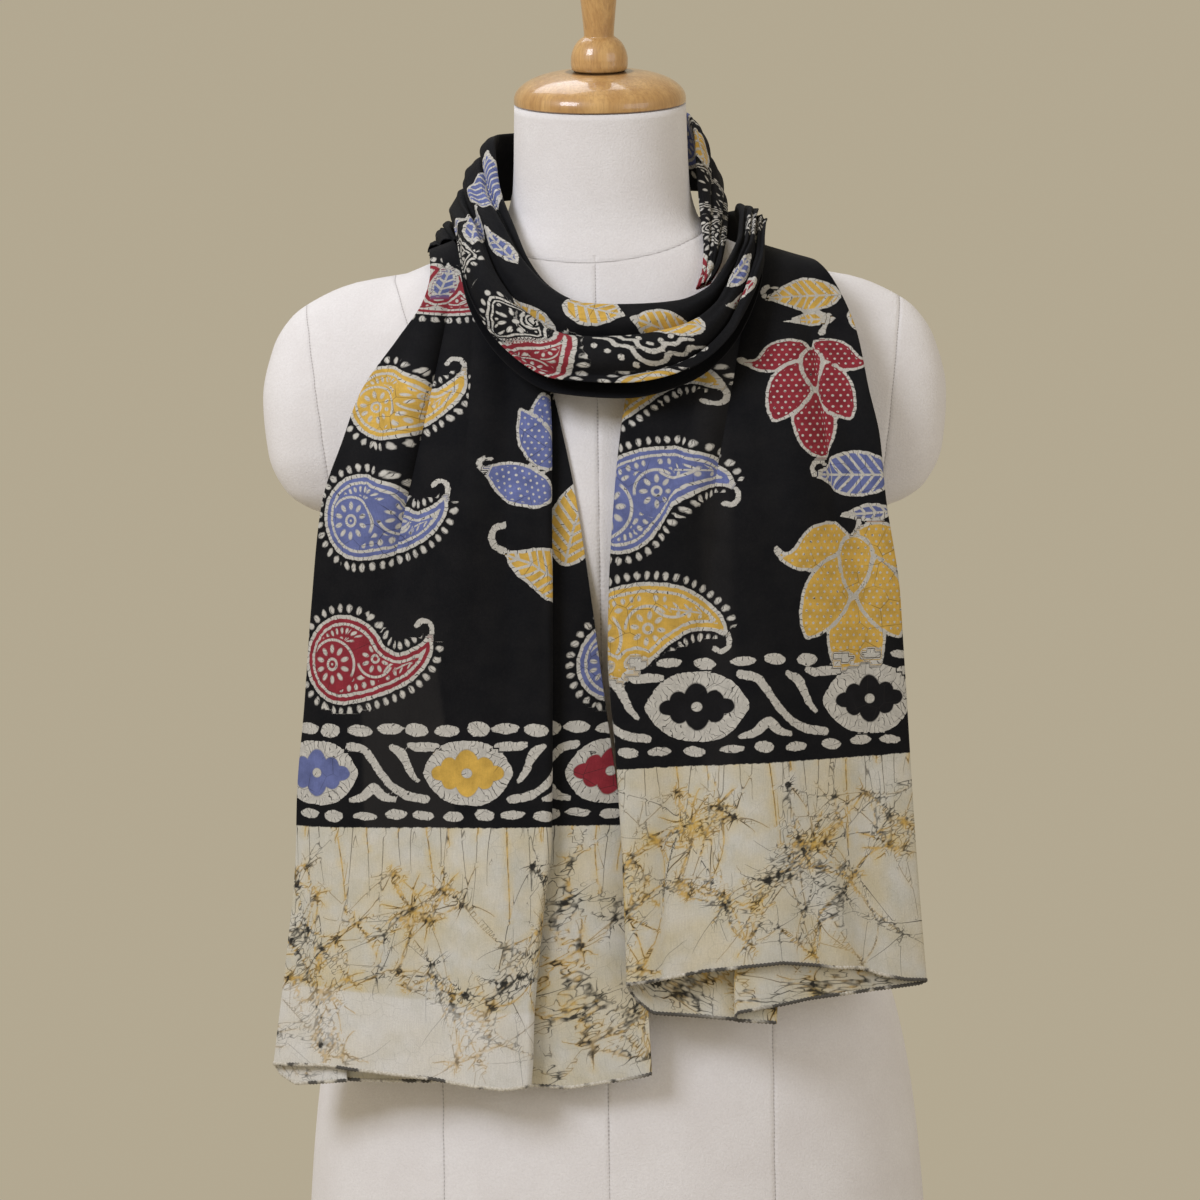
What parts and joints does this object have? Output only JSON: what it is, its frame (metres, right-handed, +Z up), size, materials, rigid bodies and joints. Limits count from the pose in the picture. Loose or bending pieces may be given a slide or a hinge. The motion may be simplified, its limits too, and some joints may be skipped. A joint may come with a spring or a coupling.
{
  "type": "stole on a dress form",
  "caption": "Printed cotton stole wound around the neck of a limbless dress form with a turned wooden neck cap, its ends hanging in flat folds over the chest.",
  "frame": {"origin": "middle of the dress form's flat base", "axes": "+Z up, -Y towards the front of the form, +X to the right of someone who looks at its front"},
  "size_m": [0.4212, 0.2706, 0.8528],
  "materials": {
    "form_cover": "matt woven cotton cover",
    "varnished_wood": "glossy varnish",
    "printed_cotton": "matt wax-resist printed plain weave"
  },
  "bodies": {
    "root": {"form_torso": "form_cover", "form_neck_cap": "varnished_wood", "form_finial": "varnished_wood", "stole_tail_left": "printed_cotton", "stole_tail_right": "printed_cotton", "stole_cowl": "printed_cotton", "stole_back_inner": "printed_cotton", "stole_back_outer": "printed_cotton"}
  },
  "joints": []
}
